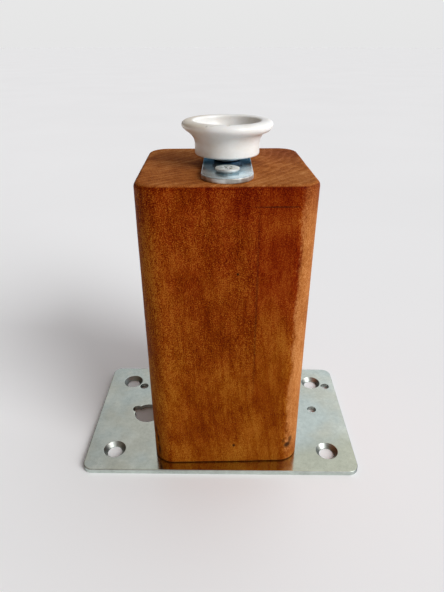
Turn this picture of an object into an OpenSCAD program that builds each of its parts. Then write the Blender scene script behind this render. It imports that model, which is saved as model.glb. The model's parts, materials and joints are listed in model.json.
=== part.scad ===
// A turned porcelain cup held on a wooden post by a flat strap, with a mounting plate under the post.
// The cup stands on a round nut. Its screw runs in a nut welded under the strap, so turning the screw
// raises the cup off its lowest stop. Millimetres, +Z up. The origin is the middle of the plate's underside.

/* [Plate] */
// Length of the plate, left to right
plate_l = 133.5; // [133:0.5:180]
// Width of the plate, front to back
plate_w = 81; // [78:0.5:120]
// Thickness of the plate
plate_t = 2.5; // [2.3:0.1:4]
// Radius of the plate's corners
plate_corner_r = 5; // [2:0.5:12]
// Distance between the corner holes, left to right
corner_hole_dx = 106.5; // [104:0.5:108]
// Distance between the corner holes, front to back
corner_hole_dy = 54.5; // [52:0.5:60]
// Diameter of a corner hole
corner_hole_d = 7.2; // [7:0.1:8]
// Diameter of a corner hole's countersink at the top face
corner_csk_d = 11; // [9:0.1:11.4]
// Diameter of the wire hole beside the post
wire_hole_d = 14; // [8:0.5:14]
// Diameter of a nail hole
nail_hole_d = 4.7; // [3:0.1:5]

/* [Post] */
// Side of the square post
post_w = 70; // [64:0.5:70]
// Height of the post
post_h = 136; // [100:1:240]
// Radius of the post's four upright edges
post_edge_r = 9.5; // [5:0.5:14]
// Radius of the edge around the post's top
post_top_r = 2; // [0.5:0.5:3]
// Radius of the edge around the post's foot
post_foot_r = 1; // [0.5:0.5:3]
// Turn of the post on its plate, in degrees
post_turn = 2; // [-2:0.5:2]

/* [Strap] */
// Width of the strap
strap_w = 19.8; // [16:0.1:24]
// Length of the strap over its round ends
strap_l = 65; // [60:0.5:66]
// Thickness of the strap
strap_t = 2; // [1.6:0.1:3]
// Distance from the cup's axis to each strap screw
strap_screw_y = 21; // [19:0.5:22]
// Turn of the strap, in degrees
strap_turn = 0.3; // [-2:0.1:2]

/* [Cup] */
// Diameter of the cup's foot
cup_foot_d = 26.7; // [24:0.1:30]
// Diameter of the cup's rim at its widest
cup_rim_d = 37; // [34:0.5:42]
// Diameter of the cup's mouth
cup_mouth_d = 27; // [25:0.1:28]
// Height of the cup
cup_h = 13.4; // [13:0.1:18]
// Space between the strap and the cup's foot with the cup at its lowest
cup_gap = 2.4; // [2:0.1:5]

/* [Hidden] */

$fn = 96;
eps = 0.5;           // how far a cutting shape runs past the face that it cuts
touch_gap = 0.05;    // space left between faces that slide on each other
stop_gap = 0.1;      // space left under the round nut at its lowest

// The post stands a little off the plate's centre, and the cup a little off the post's.
post_x = 1.7;
post_y = -0.2;
cup_x = 2.6;
cup_y = -0.6;
post_z = plate_t;
strap_z = post_z + post_h;
cup_z = strap_z + strap_t + cup_gap;

// Holes in the plate: one nail hole runs into the wire hole, and two stand beside the back corner holes.
wire_hole_pos = [-40.5, -0.5];
back_hole = [corner_hole_dx, corner_hole_dy] / 2;
nail_hole_pos = [
    wire_hole_pos + [-6.4, 3.4], [50.4, 3.5],
    [-back_hole.x + 7.15, back_hole.y - 4.35], back_hole + [8.05, -3.35]
];

// Countersunk wood screws that hold the plate to the post
plate_screw_pitch = 36;
plate_screw_d = 5;
plate_screw_head_d = 9.2;
plate_screw_l = 35;

// Countersunk wood screws that hold the strap, standing proud of it
strap_screw_d = 4.5;
strap_screw_head_d = 9.3;
strap_screw_rim_t = 0.5;
strap_screw_proud = 1.4;
strap_screw_l = 25;

// Machine screw, its nuts and washers
thread_d = 5.9;
thread_hole_d = 6;
cup_screw_l = 20;
cup_screw_head_d = 12;
cup_screw_head_h = 2.8;
round_nut_d = 11;
weld_nut_af = 10;
weld_nut_h = 5;
clear_hole_d = 6.4;
well_d = 12.4;
well_depth = 14;

// Cup floor and the soft washers on each side of it
cup_bore_d = 6.6;
cup_recess_d = 13;
cup_recess_h = 0.8;
cup_floor_h = 3.5;
cup_foot_r = 0.8;
lower_fibre_d = 12.6;
upper_fibre_d = 15;
upper_fibre_t = 0.6;
steel_washer_d = 12;
steel_washer_t = 1;
spring_washer_d = 10.8;
spring_washer_t = 1.2;

upper_fibre_z = cup_z + cup_floor_h;
steel_washer_z = upper_fibre_z + upper_fibre_t + touch_gap;
spring_washer_z = steel_washer_z + steel_washer_t;
cup_head_z = spring_washer_z + spring_washer_t;

// Points of an ellipse's arc about [cx, cy], from angle a0 to a1
function arc(cx, cy, rx, ry, a0, a1, n = 10) =
    [for (i = [0:n]) let (a = a0 + (a1 - a0) * i / n) [cx + rx * cos(a), cy + ry * sin(a)]];

// Points of a cubic curve with end points a and d and handles b and c
function cubic(a, b, c, d, n = 14) =
    [for (i = [0:n]) let (t = i / n, s = 1 - t)
        s*s*s * a + 3*s*s*t * b + 3*s*t*t * c + t*t*t * d];

// Places the children in the post's own frame
module on_post(z) {
    translate([post_x, post_y, z]) rotate(post_turn) children();
}

// Places the children in the strap's own frame, about the cup's axis
module on_strap(z) {
    translate([cup_x, cup_y, z]) rotate(strap_turn) children();
}

// Flat ring standing on z
module ring(z, outer_d, inner_d, h) {
    translate([cup_x, cup_y, z]) difference() {
        cylinder(d = outer_d, h = h);
        translate([0, 0, -eps]) cylinder(d = inner_d, h = h + 2 * eps);
    }
}

// Outline of a rectangle with round corners
module rounded_rect(l, w, r) {
    square([l - 2 * r, w], center = true);
    square([l, w - 2 * r], center = true);
    for (x = [-1, 1], y = [-1, 1])
        translate([x * (l / 2 - r), y * (w / 2 - r)]) circle(r = r);
}

// Upper edge of a square block w wide: a slab r thick from z = 0, its outer edge rounded by r
module rounded_edge_slab(w, edge_r, r) {
    for (turn = [0, 90]) rotate(turn) {
        translate([0, 0, r / 2]) cube([w - 2 * edge_r, w - 2 * r, r], center = true);
        for (side = [-1, 1])
            translate([0, side * (w / 2 - r), 0]) rotate([0, 90, 0])
                cylinder(r = r, h = w - 2 * edge_r, center = true);
    }
    for (x = [-1, 1], y = [-1, 1])
        translate([x * (w / 2 - edge_r), y * (w / 2 - edge_r), 0]) rotate_extrude() intersection() {
            union() {
                square([edge_r - r, r]);
                translate([edge_r - r, 0]) circle(r = r);
            }
            square([edge_r, r]);
        }
}

// Cross recess for a screwdriver, sunk to depth below z = 0
module cross_recess(span, slot, depth) {
    for (turn = [45, 135]) rotate(turn)
        translate([0, 0, (eps - depth) / 2]) cube([span, slot, depth + eps], center = true);
}

// Countersunk wood screw, head up, with its top face at z = 0
module countersunk_screw(d, head_d, rim_t, l) {
    cone_h = (head_d - d) / 2;
    tip_h = d;
    difference() {
        union() {
            if (rim_t > 0) translate([0, 0, -rim_t]) cylinder(d = head_d, h = rim_t);
            translate([0, 0, -rim_t - cone_h]) cylinder(d1 = d, d2 = head_d, h = cone_h);
            translate([0, 0, tip_h - l]) cylinder(d = d, h = l - tip_h - rim_t - cone_h);
            translate([0, 0, -l]) cylinder(d1 = d / 5, d2 = d, h = tip_h);
        }
        cross_recess(head_d * 0.5, head_d * 0.11, head_d * 0.18);
    }
}

// Hole for a screw with d shank: a countersink csk_d wide at z = 0, and a bore below it
module screw_hole(d, csk_d, l) {
    cone_h = (csk_d - d) / 2;
    translate([0, 0, -cone_h]) cylinder(d1 = d, d2 = csk_d, h = cone_h);
    cylinder(d = csk_d, h = eps);
    translate([0, 0, -l]) cylinder(d = d, h = l);
}

// Places the children at one plate screw, pointing up into the post from the plate's underside
module at_plate_screw(side_x, side_y) {
    on_post(0) translate([side_x * plate_screw_pitch / 2, side_y * plate_screw_pitch / 2, 0])
        mirror([0, 0, 1]) children();
}

// Places the children at one strap screw, with z = 0 on the strap's top face
module at_strap_screw(side) {
    on_strap(strap_z + strap_t) translate([0, side * strap_screw_y, 0]) children();
}

module base_plate() {
    color([0.66, 0.69, 0.66]) difference() {
        linear_extrude(plate_t) rounded_rect(plate_l, plate_w, plate_corner_r);
        for (x = [-1, 1], y = [-1, 1])
            translate([x * corner_hole_dx / 2, y * corner_hole_dy / 2, plate_t])
                screw_hole(corner_hole_d, corner_csk_d, plate_t + eps);
        translate([wire_hole_pos.x, wire_hole_pos.y, -eps])
            cylinder(d = wire_hole_d, h = plate_t + 2 * eps);
        for (p = nail_hole_pos)
            translate([p.x, p.y, -eps]) cylinder(d = nail_hole_d, h = plate_t + 2 * eps);
        for (x = [-1, 1], y = [-1, 1])
            at_plate_screw(x, y) screw_hole(plate_screw_d, plate_screw_head_d, plate_t + eps);
    }
}

module post() {
    color([0.53, 0.28, 0.10]) difference() {
        on_post(post_z) {
            translate([0, 0, post_foot_r]) linear_extrude(post_h - post_foot_r - post_top_r)
                rounded_rect(post_w, post_w, post_edge_r);
            translate([0, 0, post_h - post_top_r])
                rounded_edge_slab(post_w, post_edge_r, post_top_r);
            translate([0, 0, post_foot_r]) mirror([0, 0, 1])
                rounded_edge_slab(post_w, post_edge_r, post_foot_r);
        }
        for (x = [-1, 1], y = [-1, 1])
            at_plate_screw(x, y) translate([0, 0, -plate_screw_l - 1])
                cylinder(d = plate_screw_d, h = plate_screw_l + 1);
        for (side = [-1, 1])
            at_strap_screw(side) translate([0, 0, -strap_screw_l - 1])
                cylinder(d = strap_screw_d, h = strap_screw_l + 1);
        translate([cup_x, cup_y, strap_z - well_depth]) cylinder(d = well_d, h = well_depth + eps);
    }
}

module plate_screw(side_x, side_y) {
    color([0.74, 0.74, 0.72]) at_plate_screw(side_x, side_y)
        countersunk_screw(plate_screw_d, plate_screw_head_d, 0, plate_screw_l);
}

module strap() {
    // The screw's cone meets the strap's face below its proud rim
    seat_d = strap_screw_head_d - 2 * (strap_screw_proud - strap_screw_rim_t);
    color([0.68, 0.76, 0.80]) difference() {
        on_strap(strap_z) linear_extrude(strap_t) {
            square([strap_w, strap_l - strap_w], center = true);
            for (side = [-1, 1])
                translate([0, side * (strap_l - strap_w) / 2]) circle(d = strap_w);
        }
        for (side = [-1, 1])
            at_strap_screw(side) screw_hole(strap_screw_d, seat_d, strap_t + eps);
        translate([cup_x, cup_y, strap_z - eps]) cylinder(d = clear_hole_d, h = strap_t + 2 * eps);
    }
}

module strap_screw(side) {
    color([0.74, 0.74, 0.72]) at_strap_screw(side) translate([0, 0, strap_screw_proud])
        countersunk_screw(strap_screw_d, strap_screw_head_d, strap_screw_rim_t, strap_screw_l);
}

module weld_nut() {
    color([0.62, 0.66, 0.68]) translate([cup_x, cup_y, strap_z - weld_nut_h]) difference() {
        cylinder(d = weld_nut_af / cos(30), h = weld_nut_h, $fn = 6);
        translate([0, 0, -eps]) cylinder(d = thread_hole_d, h = weld_nut_h + 2 * eps);
    }
}

module round_nut() {
    color([0.55, 0.62, 0.68])
        ring(strap_z + strap_t + stop_gap, round_nut_d, thread_d, cup_gap - stop_gap - touch_gap);
}

module lower_fibre_washer() {
    color([0.45, 0.20, 0.12]) ring(cup_z, lower_fibre_d, clear_hole_d, cup_recess_h);
}

// The cup's section: foot, cove, round rim, mouth, floor and the recess under it
module cup_section() {
    foot_r = cup_foot_d / 2;
    rim_r = cup_rim_d / 2;
    mouth_r = cup_mouth_d / 2;
    crown_r = (rim_r + mouth_r) / 2;
    wide_h = cup_h - 1.6;          // height of the widest point of the rim
    lip_h = cup_h - 1.5;           // height where the rim turns down into the mouth
    floor_r = foot_r - 2;          // radius of the inside at its foot, before the rounding
    round_r = 1.8;                 // rounding between the inside wall and the floor
    polygon(concat(
        [[cup_bore_d / 2, cup_recess_h], [cup_recess_d / 2, cup_recess_h], [cup_recess_d / 2, 0]],
        arc(foot_r - cup_foot_r, cup_foot_r, cup_foot_r, cup_foot_r, -90, 0, 6),
        cubic([foot_r, 4], [foot_r, wide_h - 2.9], [rim_r, wide_h - 2.5], [rim_r, wide_h]),
        arc(crown_r, wide_h, rim_r - crown_r, cup_h - wide_h, 9, 90),
        arc(crown_r, lip_h, crown_r - mouth_r, cup_h - lip_h, 99, 180),
        arc(floor_r - round_r, cup_floor_h + round_r, round_r, round_r, 0, -90, 6),
        [[cup_bore_d / 2, cup_floor_h]]
    ));
}

module cup() {
    color([0.95, 0.94, 0.91]) translate([cup_x, cup_y, cup_z]) rotate_extrude() cup_section();
}

module upper_fibre_washer() {
    color([0.45, 0.20, 0.12]) ring(upper_fibre_z, upper_fibre_d, clear_hole_d, upper_fibre_t);
}

module steel_washer() {
    color([0.70, 0.72, 0.73]) ring(steel_washer_z, steel_washer_d, clear_hole_d, steel_washer_t);
}

// A ring with a slit cut through one side
module spring_washer() {
    slit = 0.9;
    color([0.60, 0.62, 0.64]) difference() {
        ring(spring_washer_z, spring_washer_d, clear_hole_d, spring_washer_t);
        translate([cup_x, cup_y, spring_washer_z + spring_washer_t / 2]) rotate([20, 0, 0])
            translate([spring_washer_d / 2, 0, 0])
                cube([spring_washer_d, slit, 2 * spring_washer_t + 1], center = true);
    }
}

// Pan head, shank and a short tapered tip
module cup_screw() {
    head_r = cup_screw_head_d / 2;
    tip_h = 0.8;
    color([0.74, 0.74, 0.72]) translate([cup_x, cup_y, cup_head_z]) difference() {
        rotate_extrude() polygon(concat(
            [[0, -cup_screw_l], [thread_d / 2 - tip_h, -cup_screw_l]],
            [[thread_d / 2, tip_h - cup_screw_l], [thread_d / 2, 0], [head_r, 0]],
            arc(head_r - 1.8, cup_screw_head_h - 1.8, 1.8, 1.8, 0, 90),
            [[0, cup_screw_head_h]]
        ));
        translate([0, 0, cup_screw_head_h]) cross_recess(6, 1.2, 1.7);
    }
}

base_plate();
post();
plate_screw(-1, -1);  // plate_screw_front_left
plate_screw(1, -1);  // plate_screw_front_right
plate_screw(-1, 1);  // plate_screw_back_left
plate_screw(1, 1);  // plate_screw_back_right
strap();
strap_screw(-1);  // strap_screw_front
strap_screw(1);  // strap_screw_rear
weld_nut();
round_nut();
lower_fibre_washer();
cup();
upper_fibre_washer();
steel_washer();
spring_washer();
cup_screw();
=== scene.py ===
"""Looks for a porcelain cup on a stained wooden post, held by a zinc-plated strap, with a mounting plate.

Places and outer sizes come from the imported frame, and finer sizes are named below. Lengths are metres in
the row frame: +Z up, front at -Y.
Each sub-part has a function that builds its mesh, and each finish has a function that builds its material.
"""

import json
import math
from functools import partial

import bmesh
import bpy
from mathutils import Matrix, Vector, noise


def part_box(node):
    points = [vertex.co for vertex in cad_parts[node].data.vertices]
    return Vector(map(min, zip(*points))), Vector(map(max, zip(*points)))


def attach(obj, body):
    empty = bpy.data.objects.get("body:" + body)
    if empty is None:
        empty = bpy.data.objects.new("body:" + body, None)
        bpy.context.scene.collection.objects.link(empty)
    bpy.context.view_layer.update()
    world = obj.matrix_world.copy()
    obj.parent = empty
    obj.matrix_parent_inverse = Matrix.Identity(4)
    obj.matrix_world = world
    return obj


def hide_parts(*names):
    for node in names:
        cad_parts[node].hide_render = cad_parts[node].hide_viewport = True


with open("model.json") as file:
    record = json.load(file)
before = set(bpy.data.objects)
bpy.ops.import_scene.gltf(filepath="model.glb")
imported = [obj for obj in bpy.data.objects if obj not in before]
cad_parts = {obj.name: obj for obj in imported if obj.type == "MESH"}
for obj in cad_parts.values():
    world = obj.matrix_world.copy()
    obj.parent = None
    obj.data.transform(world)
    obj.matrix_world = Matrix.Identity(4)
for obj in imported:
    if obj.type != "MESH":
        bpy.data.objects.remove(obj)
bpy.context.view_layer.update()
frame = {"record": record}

# Each CAD node's body
BODY_OF = {n: body for body, names in frame["record"]["behaviour"]["bodies"].items() for n in names}

MM = 0.001

# Turns of the post on its plate and of the strap about the cup's axis
POST_TURN = math.radians(2)
STRAP_TURN = math.radians(0.3)

# Base plate
PLATE_CORNER_R = 5 * MM
PLATE_TOP_EDGE_R = 0.45 * MM
PLATE_LOW_EDGE_R = 0.25 * MM
CORNER_SPACING = (106.5 * MM, 54.5 * MM)
CORNER_HOLES = [(x * CORNER_SPACING[0] / 2, y * CORNER_SPACING[1] / 2) for y in (-1, 1) for x in (-1, 1)]
CORNER_HOLE_R = 3.6 * MM
CORNER_SINK_R = 5.5 * MM
CORNER_SINK_DEPTH = 1.9 * MM
WIRE_HOLE = (-40.5 * MM, -0.5 * MM)
WIRE_HOLE_R = 7 * MM
WIRE_NAIL_HOLE = (-46.9 * MM, 2.9 * MM)
NAIL_HOLES = ((50.4 * MM, 3.5 * MM), (-46.1 * MM, 22.9 * MM), (61.3 * MM, 23.9 * MM))
NAIL_HOLE_R = 2.35 * MM
PLATE_SCREW_R = 2.5 * MM
PLATE_SCREWS = tuple(f"plate_screw_{end}_{side}" for end in ("front", "back") for side in ("left", "right"))

# Post, with a well for the weld nut in its top
POST_EDGE_R = 9.5 * MM
POST_TOP_R = 2 * MM
POST_FOOT_R = 1 * MM
WELL_R = 6.2 * MM
WELL_DEPTH = 14 * MM
POST_TOP_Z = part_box("post")[1].z

# The post's growth rings, in millimetres: from their pith to the post's axis, and from ring to ring
RING_PITH = (60, -60, 0)
RING_WIDTH = 3.4

# Marks in the timber, in millimetres about the post's axis and turned with it, z from the plate's
# underside: centre, radii, depth and darkness
MARKS = (
    ((4.1, -35, 103.7), (0.85, 0.9, 0.85), 0.0, 0.95),
    ((3.5, -35, 13.5), (1.0, 0.9, 1.3), 0.0, 0.95),
    ((29.3, -34.0, 12.4), (2.7, 3.0, 2.6), 0.30, 0.9),
    ((30.6, -33.4, 15.6), (1.7, 2.0, 3.0), 0.15, 0.7),
    ((27.2, -34.9, 15.4), (1.2, 1.6, 2.2), 0.12, 0.5),
    ((-33.7, -30.6, 20.5), (1.2, 1.6, 3.2), 0.45, 0.9),
    ((-32.7, -31.6, 15.5), (1.1, 1.5, 4.0), 0.55, 0.9),
    ((-32.5, -31.8, 9.0), (1.1, 1.5, 5.0), 0.5, 0.9),
    ((-34.7, -27.6, 14.0), (1.0, 1.5, 4.0), 0.3, 0.8),
    ((19.0, -35, 130.6), (13.5, 1.2, 0.36), 0.0, 0.8),
    ((11.8, -35, 88.0), (0.7, 1.2, 62.0), 0.0, 0.30),
    ((-34.6, -27.0, 78.0), (1.2, 1.5, 1.6), 0.15, 0.7),
    ((35.0, 12.0, 47.0), (1.0, 1.2, 3.0), 0.15, 0.6),
    ((-12.0, 35.0, 96.0), (2.4, 0.9, 0.6), 0.12, 0.6),
)

# Broad patches on the post's front where the stain took more or less, placed like the marks: centre,
# radii and how much lighter
STAIN_PATCHES = (
    ((-12, -36, 30), (30, 24, 20), -0.07),
    ((6, -36, 92), (22, 26, 34), -0.03),
    ((19, -36, 74), (11, 14, 20), 0.12),
    ((15, -36, 99), (11, 12, 17), 0.16),
    ((24, -36, 12), (14, 14, 14), -0.07),
)

# Strap and its screws
STRAP_W = 19.8 * MM
STRAP_L = 65 * MM
STRAP_HOLE_R = 3.2 * MM
STRAP_SCREW_Y = 21 * MM
STRAP_SCREW_R = 2.25 * MM
STRAP_SEAT_R = 3.75 * MM
STRAP_SCREWS = ("strap_screw_front", "strap_screw_rear")

# Cup
CUP_BORE_R = 3.3 * MM
CUP_RECESS_R = 6.5 * MM
CUP_RECESS_H = 0.8 * MM
CUP_MOUTH_R = 13.5 * MM
CUP_FOOT_R = 13.35 * MM
CUP_FLOOR_H = 3.5 * MM
CREASE_H = 9 * MM
CREASE_W = 0.3 * MM
CREASE_DEPTH = 0.75 * MM
NICK_W = 0.5 * MM
NICK_DEPTH = 0.7 * MM

# Dark spots on the glaze, the first at the nick in the lip, in millimetres about the cup's axis, z from the
# plate's
# underside: centre, radii and darkness
CUP_STAINS = (
    ((0.1, -16.3, 155.8), (0.7, 1.2, 1.0), 0.8),
    ((-7.7, -15.7, 155.6), (0.8, 0.8, 0.7), 0.4),
    ((-5.4, -16.3, 155.8), (1.8, 0.7, 0.5), 0.2),
)

# Screws' bores and threads
CLEAR_R = 3.2 * MM
CUP_SCREW_R = 2.95 * MM
CUP_SCREW_HEAD_H = 2.8 * MM
MACHINE_PITCH = 1 * MM
WOOD_PITCH = 2.2 * MM

# Camera and key light
CAMERA_AT = (0.00275, -0.2043, 0.1838)
CAMERA_TILT = math.radians(62.09)
CAMERA_TURN = math.radians(0.645)
CAMERA_LENS = 29.19
KEY_TOWARD = (0.68, -0.55, 0.52)
KEY_STRENGTH = 2.4
KEY_WIDTH = math.radians(36)


# -------------------- meshes

class Shape:
    """A mesh under construction, made of closed loops of points."""

    def __init__(self):
        self.bm = bmesh.new()

    def loop(self, points):
        return [self.bm.verts.new(p) for p in points]

    def bridge(self, a, b):
        """Joins two loops of equal length by a band of quads."""
        for i in range(len(a)):
            j = (i + 1) % len(a)
            self.bm.faces.new((a[i], a[j], b[j], b[i]))

    def loft(self, loops, closed=False):
        """Joins each loop to the next, and the last to the first if the section is closed."""
        made = [self.loop(points) for points in loops]
        for a, b in zip(made, made[1:]):
            self.bridge(a, b)
        if closed:
            self.bridge(made[-1], made[0])
        return made

    def fan(self, loop, tip):
        """Closes a loop with triangles to one point."""
        tip = self.bm.verts.new(tip)
        for a, b in zip(loop, loop[1:] + loop[:1]):
            self.bm.faces.new((a, b, tip))

    def sheet(self, loops):
        """Fills the flat face inside the first loop and outside the others."""
        edges = []
        for loop in loops:
            for pair in zip(loop, loop[1:] + loop[:1]):
                edges.append(self.bm.edges.get(pair) or self.bm.edges.new(pair))
        bmesh.ops.triangle_fill(self.bm, use_beauty=True, edges=edges, normal=(0, 0, 1))

    def place(self, matrix):
        bmesh.ops.transform(self.bm, matrix=matrix, verts=self.bm.verts)

    def to_object(self, name):
        bmesh.ops.recalc_face_normals(self.bm, faces=self.bm.faces)
        mesh = bpy.data.meshes.new(name)
        self.bm.to_mesh(mesh)
        self.bm.free()
        piece = bpy.data.objects.new(name, mesh)
        bpy.context.scene.collection.objects.link(piece)
        return piece


def finish_piece(piece, node, material, sharp_angle=38):
    """Shades a piece, and puts it in place of its CAD node on that node's body and slot."""
    mesh = piece.data
    mesh.shade_smooth()
    mesh.set_sharp_from_angle(angle=math.radians(sharp_angle))
    weighted = piece.modifiers.new("even_normals", "WEIGHTED_NORMAL")
    weighted.keep_sharp = True
    mesh.materials.clear()
    mesh.materials.append(MATERIALS[material])
    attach(piece, BODY_OF[node])
    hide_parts(node)
    return piece


def cut(piece, cutters):
    """Takes the cutters' solids away from a piece."""
    for cutter in cutters:
        boolean = piece.modifiers.new("cut", "BOOLEAN")
        boolean.operation = "DIFFERENCE"
        boolean.solver = "EXACT"
        boolean.object = cutter
    bpy.context.view_layer.update()
    graph = bpy.context.evaluated_depsgraph_get()
    made = bpy.data.meshes.new_from_object(piece.evaluated_get(graph))
    piece.modifiers.clear()
    piece.data = made
    for cutter in cutters:
        bpy.data.objects.remove(cutter)


def node_span(node):
    """A round CAD node's axis, radius and lowest and highest point."""
    low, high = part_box(node)
    middle = (low + high) / 2
    return Vector((middle.x, middle.y, 0)), (high.x - low.x) / 2, low.z, high.z


def polar(centre, r, angle):
    return centre[0] + r * math.cos(angle), centre[1] + r * math.sin(angle)


def level_loop(radius_at, segments, z, centre=(0, 0)):
    """A level loop whose radius is a function of its angle."""
    angles = [2 * math.pi * k / segments for k in range(segments)]
    return [(*polar(centre, radius_at(angle), angle), z) for angle in angles]


def arc(centre, radii, start, end, steps):
    """Points of an ellipse's arc, angles in degrees."""
    angles = [math.radians(start + (end - start) * i / steps) for i in range(steps + 1)]
    return [(centre[0] + radii[0] * math.cos(a), centre[1] + radii[1] * math.sin(a)) for a in angles]


def cubic(a, b, c, d, steps):
    """Points of a cubic curve with end points a and d and handles b and c."""
    points = []
    for i in range(steps + 1):
        t = i / steps
        weights = ((1 - t) ** 3, 3 * t * (1 - t) ** 2, 3 * t * t * (1 - t), t ** 3)
        points.append(tuple(sum(w * p[k] for w, p in zip(weights, (a, b, c, d))) for k in (0, 1)))
    return points


def rounded_rect(half_x, half_y, r, corner_steps, side_steps=1):
    """Outline of a rectangle with round corners, counter-clockwise."""
    dx, dy = half_x - r, half_y - r
    points = []
    for k, (x, y) in enumerate(((dx, dy), (-dx, dy), (-dx, -dy), (dx, -dy))):
        points += arc((x, y), (r, r), 90 * k, 90 * k + 90, corner_steps)
        step = 2 * (dx, dy)[k % 2] / side_steps
        corner = points[-1]
        points += [polar(corner, step * i, math.pi / 2 * (k + 2)) for i in range(1, side_steps)]
    return points


def edge_profile(z_low, z_high, r_low, r_high, steps=4):
    """(inset, z) up a wall with a rounded lower and upper edge."""
    low = arc((r_low, z_low + r_low), (r_low, r_low), 270, 180, steps)
    high = arc((r_high, z_high - r_high), (r_high, r_high), 180, 90, steps)
    return low + high


def with_z(points, z):
    return [(x, y, z) for x, y in points]


def rings(profile, segments, centre=(0, 0)):
    """Level circles at the (radius, z) points of a profile, about an upright axis."""
    return [level_loop(lambda _: r, segments, z, centre) for r, z in profile]


def ring_section(r_in, r_out, z_low, z_high, edge):
    """Closed section of a flat ring with rounded edges."""
    corners = (
        ((r_out - edge, z_low + edge), 270), ((r_out - edge, z_high - edge), 0),
        ((r_in + edge, z_high - edge), 90), ((r_in + edge, z_low + edge), 180),
    )
    section = []
    for centre, start in corners:
        section += arc(centre, (edge, edge), start, start + 90, 3)
    return section


def flat_part(outline, profile, holes):
    """A flat plate: outline(inset) gives its edge, and each hole gives its loops from low to high."""
    shape = Shape()
    walls = [shape.loft([with_z(outline(inset), z) for inset, z in profile])]
    walls += [shape.loft(loops) for loops in holes]
    shape.sheet([wall[0] for wall in walls])
    shape.sheet([wall[-1] for wall in walls])
    return shape


# -------------------- base plate

def keyhole(grow):
    """The wire hole and the nail hole that runs into it, as one outline."""
    big, small = Vector(WIRE_HOLE), Vector(WIRE_NAIL_HOLE)
    r_big, r_small = WIRE_HOLE_R + grow, NAIL_HOLE_R + grow
    gap = small - big
    reach = gap.length
    along = (reach ** 2 + r_big ** 2 - r_small ** 2) / (2 * reach)
    heading = math.degrees(math.atan2(gap.y, gap.x))
    open_big = math.degrees(math.acos(along / r_big))
    open_small = math.degrees(math.acos((reach - along) / r_small))
    body = arc(big, (r_big, r_big), heading + open_big, heading + 360 - open_big, 72)
    lobe = arc(small, (r_small, r_small), heading + 180 + open_small, heading + 540 - open_small, 30)
    return body + lobe[1:-1]


def base_plate():
    low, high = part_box("base_plate")
    half = (high - low) / 2
    burr = 0.15 * MM
    lip = 0.3 * MM
    straight = (
        (burr, low.z), (0, low.z + burr), (0, high.z - lip), (lip * 0.3, high.z - lip * 0.3), (lip, high.z),
    )
    sink_wall = high.z - CORNER_SINK_DEPTH
    sink = (
        (CORNER_HOLE_R + burr, low.z), (CORNER_HOLE_R, low.z + burr), (CORNER_HOLE_R, sink_wall - burr),
        (CORNER_HOLE_R + burr * 0.6, sink_wall + burr * 0.4), (CORNER_SINK_R - burr, high.z - burr),
        (CORNER_SINK_R, high.z - burr * 0.3), (CORNER_SINK_R + burr, high.z),
    )
    screw_head_r = node_span("plate_screw_front_left")[1]
    cone_h = screw_head_r - PLATE_SCREW_R
    screw_hole = (
        (screw_head_r + burr, low.z), (screw_head_r, low.z + burr * 0.5),
        (PLATE_SCREW_R, low.z + cone_h), (PLATE_SCREW_R, high.z),
    )
    holes = [[with_z(keyhole(grow), z) for grow, z in straight]]
    nail = [(NAIL_HOLE_R + grow, z) for grow, z in straight]
    holes += [rings(nail, 48, centre) for centre in NAIL_HOLES]
    holes += [rings(sink, 72, centre) for centre in CORNER_HOLES]
    holes += [rings(screw_hole, 40, node_span(node)[0]) for node in PLATE_SCREWS]

    def outline(inset):
        return rounded_rect(half.x - inset, half.y - inset, PLATE_CORNER_R - inset, 14)

    profile = edge_profile(low.z, high.z, PLATE_LOW_EDGE_R, PLATE_TOP_EDGE_R)
    piece = flat_part(outline, profile, holes).to_object("base_plate_steel")
    finish_piece(piece, "base_plate", "zinc_plate")


# -------------------- post

def post_frame():
    """Centre of the post, half its width, and its lowest and highest point."""
    low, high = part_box("post")
    spread = math.cos(POST_TURN) + math.sin(POST_TURN)
    half = ((high.x - low.x) / 2 - POST_EDGE_R) / spread + POST_EDGE_R
    middle = (low + high) / 2
    return Vector((middle.x, middle.y, 0)), half, low.z, high.z


def wear(x, y, z):
    """How far the timber's face lies in from a true plane, at a point placed like the marks, in metres."""
    point = Vector((x, y, z))
    hollow = 0.10 * MM * (noise.noise(point / (26 * MM)) + 0.6)
    ripple = 0.025 * MM * (noise.noise(point / (5 * MM)) + 0.8)
    depth = max(hollow, 0) + max(ripple, 0)
    if x > 27 * MM and y < -20 * MM:
        depth += 0.25 * MM * math.sin(math.pi * min(1, max(0, z / POST_TOP_Z)))
    for centre, radii, deep, _ in MARKS:
        near = sum(((p / MM - c) / r) ** 2 for p, c, r in zip(point, centre, radii))
        if near < 1:
            depth += deep * MM * (1 - near) ** 1.5
    return depth


def worn_loops(half, z_low, z_high):
    """Level outlines up the post, with every point moved in by the wear there."""
    side_steps, corner_steps, edge_steps, level = 50, 14, 5, 1.0 * MM
    walls = edge_profile(z_low, z_high, POST_FOOT_R, POST_TOP_R, edge_steps)
    lower, upper = walls[:edge_steps + 1], walls[edge_steps + 1:]
    start = lower[-1][1]
    height = upper[0][1] - start
    count = round(height / level)
    plain = [(0, start + height / count * i) for i in range(1, count)]
    loops = []
    for inset, z in lower + plain + upper:
        outer, inner = [
            rounded_rect(half - d, half - d, POST_EDGE_R - d, corner_steps, side_steps)
            for d in (inset, inset + MM)
        ]
        points = []
        for (x, y), (inner_x, inner_y) in zip(outer, inner):
            depth = wear(x, y, z) / MM
            if z > z_high - POST_TOP_R:
                depth += 0.12 * abs(noise.noise(Vector((x, y, z)) / (7 * MM)))
            points.append((x + (inner_x - x) * depth, y + (inner_y - y) * depth, z))
        loops.append(points)
    return loops


def blind_hole(shape, spot, r, mouth, end, tip, segments):
    """Adds a round hole from height mouth to height end, with a cone to its tip, and returns its mouth."""
    hole = shape.loft(rings(((r, mouth), (r, end)), segments, spot))
    shape.fan(hole[-1], (spot.x, spot.y, tip))
    return hole[0]


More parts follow.
